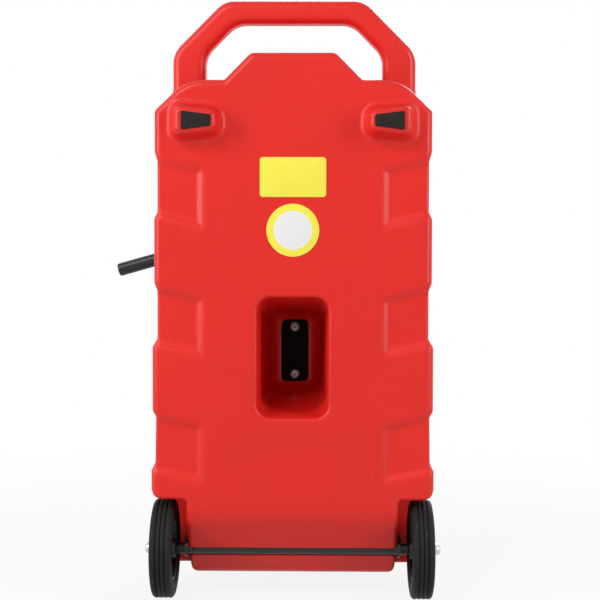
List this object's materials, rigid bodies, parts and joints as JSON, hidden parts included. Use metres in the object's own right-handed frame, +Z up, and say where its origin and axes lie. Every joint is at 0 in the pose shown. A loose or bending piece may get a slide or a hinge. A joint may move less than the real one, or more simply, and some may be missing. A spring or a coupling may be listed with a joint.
{
  "type": "fuel caddy",
  "caption": "Moulded upright fuel tank on two wheels, with a loop handle, a back recess, rubber pads and a lever-action pump on its front.",
  "frame": {"origin": "centre of the underside of the front foot, on the floor", "axes": "+Z up, +Y towards the pump side, -Y towards the back with the recess, +X to the right when the back is seen"},
  "size_m": [0.5665, 0.343, 0.983],
  "materials": {
    "red_shell": "semi-gloss moulded polyethylene",
    "black_plastic": "satin",
    "grip_black": "gloss",
    "rubber": "matte",
    "tyre": "matte",
    "black_steel": "satin black",
    "zinc": "bright plated",
    "label_yellow": "satin film",
    "pump_cast": "painted casting",
    "brass": "machined",
    "white_plastic": "natural"
  },
  "bodies": {
    "caddy": {"tank_shell": "red_shell", "label_panel": "label_yellow", "label_disc": "label_yellow", "axle_rod": "black_steel", "axle_tube": "black_steel", "backing_plate": "black_steel", "pump_bracket": "pump_cast", "pump_barrel": "pump_cast", "pump_foot": "pump_cast", "pump_head": "pump_cast", "gland_nut": "brass", "outlet_barb": "brass", "suction_elbow": "black_plastic", "dip_tube": "black_plastic", "inlet_grommet": "rubber", "strainer": "white_plastic", "fulcrum_pin": "zinc", "foot_pad_left": "rubber", "axle_bracket_left": "black_steel", "bracket_bolt_left_1": "black_steel", "bracket_bolt_left_2": "black_steel", "axle_spacer_left": "black_plastic", "wheel_washer_left": "zinc", "cap_nut_left": "zinc", "foot_pad_right": "rubber", "axle_bracket_right": "black_steel", "bracket_bolt_right_1": "black_steel", "bracket_bolt_right_2": "black_steel", "axle_spacer_right": "black_plastic", "wheel_washer_right": "zinc", "cap_nut_right": "zinc", "mount_washer_upper": "zinc", "mount_bolt_upper": "zinc", "mount_nut_upper": "zinc", "clamp_band_upper": "black_steel", "clamp_screw_upper_left": "zinc", "clamp_screw_upper_right": "zinc", "mount_washer_lower": "zinc", "mount_bolt_lower": "zinc", "mount_nut_lower": "zinc", "clamp_band_lower": "black_steel", "clamp_screw_lower_left": "zinc", "clamp_screw_lower_right": "zinc"},
    "wheel_left": {"tyre_left": "tyre", "wheel_hub_left": "black_plastic", "hub_bush_left": "white_plastic"},
    "wheel_right": {"tyre_right": "tyre", "wheel_hub_right": "black_plastic", "hub_bush_right": "white_plastic"},
    "lever": {"lever_arm": "black_steel", "lever_grip": "grip_black"},
    "piston": {"piston_rod": "zinc", "rod_pin": "zinc", "piston": "white_plastic", "piston_seal": "rubber", "piston_nut": "zinc"},
    "foot_valve": {"foot_valve_disc": "brass"},
    "piston_valve": {"piston_valve_disc": "rubber"},
    "cap_seal": {"filler_gasket": "rubber"},
    "cap": {"filler_cap": "black_plastic"}
  },
  "joints": [
    {"name": "wheel_left_spin", "type": "hinge", "parent": "caddy", "child": "wheel_left", "pos_m": [-0.21025, -0.19, 0.08], "axis": [1, 0, 0], "continuous": true},
    {"name": "wheel_right_spin", "type": "hinge", "parent": "caddy", "child": "wheel_right", "pos_m": [0.21025, -0.19, 0.08], "axis": [1, 0, 0], "continuous": true},
    {"name": "pump_lever", "type": "hinge", "parent": "caddy", "child": "lever", "pos_m": [0.075, 0.035, 0.6478], "axis": [0, 1, 0], "range_deg": [0, 40]},
    {"name": "piston_stroke", "type": "slide", "parent": "caddy", "child": "piston", "axis": [0, 0, 1], "range_m": [0, 0.055]},
    {"name": "foot_valve_lift", "type": "slide", "parent": "caddy", "child": "foot_valve", "axis": [0, 0, 1], "range_m": [0, 0.004]},
    {"name": "piston_valve_lift", "type": "slide", "parent": "piston", "child": "piston_valve", "axis": [0, 0, 1], "range_m": [0, 0.003]},
    {"name": "cap_lift", "type": "slide", "parent": "caddy", "child": "cap_seal", "axis": [0, 1, 0], "range_m": [0, 0.0046]},
    {"name": "cap_turn", "type": "hinge", "parent": "cap_seal", "child": "cap", "pos_m": [0, 0.03, 0.772], "axis": [0, 1, 0], "range_deg": [0, 540]}
  ],
  "couplings": [
    {"joint": "piston_stroke", "follows": "pump_lever", "m_per_rad": 0.0777},
    {"joint": "cap_lift", "follows": "cap_turn", "m_per_rad": 0.00047746}
  ]
}
